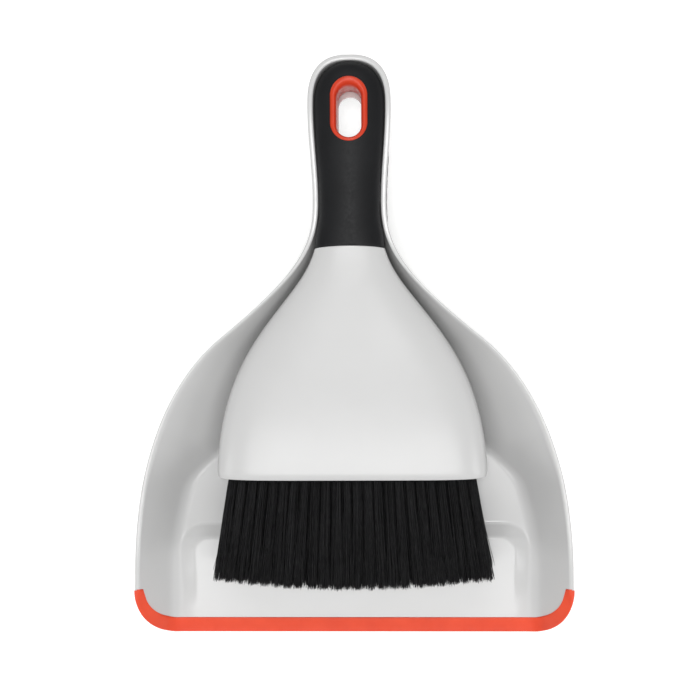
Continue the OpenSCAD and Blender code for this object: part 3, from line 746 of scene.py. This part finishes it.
# ---------------------------------------------------------------- materials
class Nodes:
    """A short way to write a material's node tree."""

    def __init__(self, name):
        self.material = bpy.data.materials.new(name)
        self.material.use_nodes = True
        self.tree = self.material.node_tree
        self.shader = self.tree.nodes["Principled BSDF"]
        self.place = self.add("ShaderNodeTexCoord").outputs["Object"]

    def add(self, kind):
        return self.tree.nodes.new(kind)

    def link(self, source, target):
        self.tree.links.new(source, target)

    def noise(self, scale, detail, stretch=None):
        node = self.add("ShaderNodeTexNoise")
        node.inputs["Scale"].default_value = scale
        node.inputs["Detail"].default_value = detail
        node.inputs["Roughness"].default_value = 0.55
        place = self.place
        if stretch:
            mapping = self.add("ShaderNodeMapping")
            mapping.inputs["Scale"].default_value = stretch
            self.link(place, mapping.inputs["Vector"])
            place = mapping.outputs["Vector"]
        self.link(place, node.inputs["Vector"])
        return node.outputs["Fac"]

    def ramp(self, value, *stops):
        node = self.add("ShaderNodeValToRGB")
        elements = node.color_ramp.elements
        while len(elements) < len(stops):
            elements.new(0.5)
        for element, (at, colour) in zip(elements, stops):
            element.position = at
            element.color = (*colour, 1.0)
        self.link(value, node.inputs["Fac"])
        return node.outputs["Color"]

    def spread(self, value, low, high):
        """A noise's middle range, 0.3 to 0.7, spread from low to high."""
        node = self.add("ShaderNodeMapRange")
        node.inputs["From Min"].default_value = 0.3
        node.inputs["From Max"].default_value = 0.7
        node.inputs["To Min"].default_value = low
        node.inputs["To Max"].default_value = high
        self.link(value, node.inputs["Value"])
        return node.outputs["Result"]

    def bump(self, *layers):
        """Bumps on top of each other, each (height, strength, distance in mm)."""
        normal = None
        for height, strength, distance in layers:
            node = self.add("ShaderNodeBump")
            node.inputs["Strength"].default_value = strength
            node.inputs["Distance"].default_value = distance * MM
            self.link(height, node.inputs["Height"])
            if normal is not None:
                self.link(normal, node.inputs["Normal"])
            normal = node.outputs["Normal"]
        self.link(normal, self.shader.inputs["Normal"])

    def set(self, **values):
        for key, value in values.items():
            self.shader.inputs[key.replace("_", " ")].default_value = value


def grey(v):
    """A very slightly warm grey."""
    return (v, v, v * 0.995)


def moulded_white(name, low, high, rough_low, rough_high):
    """Moulded polypropylene: a faint mottle, a slightly uneven gloss, and fine orange-peel."""
    m = Nodes(name)
    m.link(m.ramp(m.noise(38.0, 5.0), (0.3, grey(low)), (0.7, grey(high))), m.shader.inputs["Base Color"])
    m.link(m.spread(m.noise(90.0, 3.0), rough_low, rough_high), m.shader.inputs["Roughness"])
    m.bump((m.noise(700.0, 2.0), 0.03, 0.02))
    m.set(IOR=1.49)
    return m.material


def soft_orange(name, colour, dark, rough):
    """Soft elastomer: saturated through, with a fine satin grain."""
    m = Nodes(name)
    m.link(m.ramp(m.noise(60.0, 4.0), (0.3, dark), (0.7, colour)), m.shader.inputs["Base Color"])
    m.link(m.spread(m.noise(420.0, 3.0), rough - 0.06, rough + 0.08), m.shader.inputs["Roughness"])
    m.bump((m.noise(2600.0, 2.0), 0.12, 0.04), (m.noise(300.0, 2.0), 0.05, 0.05))
    m.set(IOR=1.47, Specular_IOR_Level=0.35)
    return m.material


def grip_rubber(name):
    """Charcoal rubber: matte, slightly uneven in tone, with a fine spark-eroded grain."""
    m = Nodes(name)
    m.link(m.ramp(m.noise(45.0, 6.0), (0.3, (0.008, 0.0083, 0.0092)), (0.72, (0.012, 0.0124, 0.0138))),
           m.shader.inputs["Base Color"])
    m.link(m.spread(m.noise(700.0, 3.0), 0.42, 0.54), m.shader.inputs["Roughness"])
    m.bump((m.noise(3200.0, 3.0), 0.25, 0.05), (m.noise(260.0, 2.0), 0.04, 0.08))
    m.set(IOR=1.5, Specular_IOR_Level=0.2)
    return m.material


def bristle_material(name):
    """Black filament, with lighter streaks along some strands that are painted highlights, and a satin glint.
    """
    m = Nodes(name)
    # the lighter streaks are painted highlights: random strands lifted in tone to stand in for glints on
    # single filaments
    m.link(m.ramp(m.noise(2500.0, 2.0, stretch=(1.0, 0.02, 1.0)), (0.35, (0.002, 0.002, 0.0024)),
                  (0.72, (0.012, 0.012, 0.0135))), m.shader.inputs["Base Color"])
    m.link(m.spread(m.noise(300.0, 2.0), 0.32, 0.5), m.shader.inputs["Roughness"])
    m.set(IOR=1.5, Specular_IOR_Level=0.24)
    return m.material


def block_material(name):
    """Black moulded plastic."""
    m = Nodes(name)
    m.link(m.ramp(m.noise(90.0, 4.0), (0.3, (0.008, 0.008, 0.009)), (0.7, (0.016, 0.016, 0.017))),
           m.shader.inputs["Base Color"])
    m.link(m.spread(m.noise(500.0, 2.0), 0.5, 0.65), m.shader.inputs["Roughness"])
    m.bump((m.noise(1200.0, 2.0), 0.15, 0.05))
    return m.material


def staple_material(name):
    """Bright drawn wire."""
    m = Nodes(name)
    drawn = m.noise(1500.0, 3.0, stretch=(0.05, 1.0, 1.0))
    m.link(m.ramp(drawn, (0.3, (0.52, 0.52, 0.54)), (0.7, (0.68, 0.68, 0.7))), m.shader.inputs["Base Color"])
    m.link(m.spread(drawn, 0.25, 0.42), m.shader.inputs["Roughness"])
    m.bump((drawn, 0.1, 0.01))
    m.set(Metallic=1.0)
    return m.material


def floor_material(name):
    """Pale matt paper that also glows faintly: painted light, an even emission that softens the shadows on it
    and lights the object from below.
    """
    m = Nodes(name)
    m.link(m.ramp(m.noise(3.0, 3.0), (0.3, grey(0.93)), (0.7, grey(0.95))), m.shader.inputs["Base Color"])
    # the emission is painted light: the floor glows evenly and washes out the shadows cast on it
    m.set(Roughness=0.9, Emission_Strength=0.3)
    m.shader.inputs["Emission Color"].default_value = (1.0, 1.0, 1.0, 1.0)
    m.shader.inputs["Specular IOR Level"].default_value = 0.1
    return m.material


# ---------------------------------------------------------------- light and camera
def area_light(name, power, place, size):
    """A softbox that is aimed at the object."""
    data = bpy.data.lights.new(name, "AREA")
    data.shape = "RECTANGLE"
    data.size, data.size_y = size
    data.energy = power
    light = bpy.data.objects.new(name, data)
    bpy.context.scene.collection.objects.link(light)
    light.location = place
    aim = Vector((0.0, 0.0, 0.03))
    light.rotation_euler = (aim - Vector(place)).to_track_quat("-Z", "Y").to_euler()


def stage():
    """The floor, the even light of the studio and the softboxes."""
    mesh = bpy.data.meshes.new("floor")
    s = 6.0                # half the floor's width, in metres
    mesh.from_pydata([(-s, -s, 0), (s, -s, 0), (s, s, 0), (-s, s, 0)], [], [(0, 1, 2, 3)])
    floor = bpy.data.objects.new("floor", mesh)
    bpy.context.scene.collection.objects.link(floor)
    floor.data.materials.append(floor_material("pale_floor_painted_glow"))

    world = bpy.data.worlds.new("studio")
    bpy.context.scene.world = world
    world.use_nodes = True
    background = world.node_tree.nodes["Background"]
    background.inputs["Color"].default_value = (1.0, 1.0, 1.0, 1.0)
    background.inputs["Strength"].default_value = 0.33

    area_light("softbox_front", 12.0, (0.0, -0.85, 1.7), (1.3, 0.6))
    area_light("softbox_top", 10.0, (0.0, 0.05, 2.0), (0.32, 0.45))
    area_light("softbox_back", 4.0, (0.0, 0.95, 1.45), (1.4, 0.5))
    area_light("softbox_left", 2.4, (-1.3, -0.75, 0.95), (0.45, 0.8))
    area_light("softbox_right", 3.4, (1.3, -0.75, 0.95), (0.45, 0.8))
    bpy.context.scene.view_settings.view_transform = "Standard"


def camera():
    """Straight above the set, a little to its right and turned back to it."""
    height, across = 1.0, 0.39445       # above the ground, and the width that the frame covers there
    aim, side, roll = (-0.0022, 0.0009), 0.035, -0.27
    data = bpy.data.cameras.new("camera")
    data.sensor_width = 36.0
    data.lens = data.sensor_width * height / across
    data.clip_start = 0.05
    cam = bpy.data.objects.new("camera", data)
    bpy.context.scene.collection.objects.link(cam)
    cam.location = (aim[0] + side, aim[1], height)
    cam.rotation_euler = (0.0, math.atan2(side, height), math.radians(roll))
    bpy.context.scene.camera = cam


# ---------------------------------------------------------------- the object
PAN_WHITE = moulded_white("pan_white_plastic", 0.63, 0.64, 0.17, 0.22)
HEAD_WHITE = moulded_white("head_white_plastic", 0.61, 0.62, 0.22, 0.26)
LIP_ORANGE = soft_orange("lip_orange_elastomer", (0.86, 0.082, 0.03), (0.77, 0.065, 0.024), 0.5)
RING_ORANGE = soft_orange("ring_orange_plastic", (0.68, 0.055, 0.02), (0.62, 0.045, 0.016), 0.34)
RUBBER = grip_rubber("charcoal_rubber")
BRISTLE = bristle_material("black_filament")

finish_piece(build_pan(), "pan", "pan_white", PAN_WHITE, "pan_body")
finish_piece(build_lip(), "pan", "lip_orange", LIP_ORANGE, "pan_lip")
finish_piece(build_pan_grip(), "pan", "grip_rubber", RUBBER, "pan_grip")
finish_piece(build_head(), "brush", "head_white", HEAD_WHITE, "head_shell")
finish_piece(build_grip(), "brush", "grip_rubber", RUBBER, "brush_grip")
finish_piece(build_ring(), "brush", "ring_orange", RING_ORANGE, "hang_ring")
for k in range(1, 6):
    finish_piece(build_row(k), "brush", "bristle_black", BRISTLE, f"tufts_row_{k}")

kept = {"bristle_block": block_material("block_plastic")}
steel = staple_material("staple_wire")
kept.update({f"staples_row_{k}": steel for k in range(1, 6)})
for node, material in kept.items():
    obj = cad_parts[node]
    obj.data.materials.clear()
    obj.data.materials.append(material)

stage()
camera()
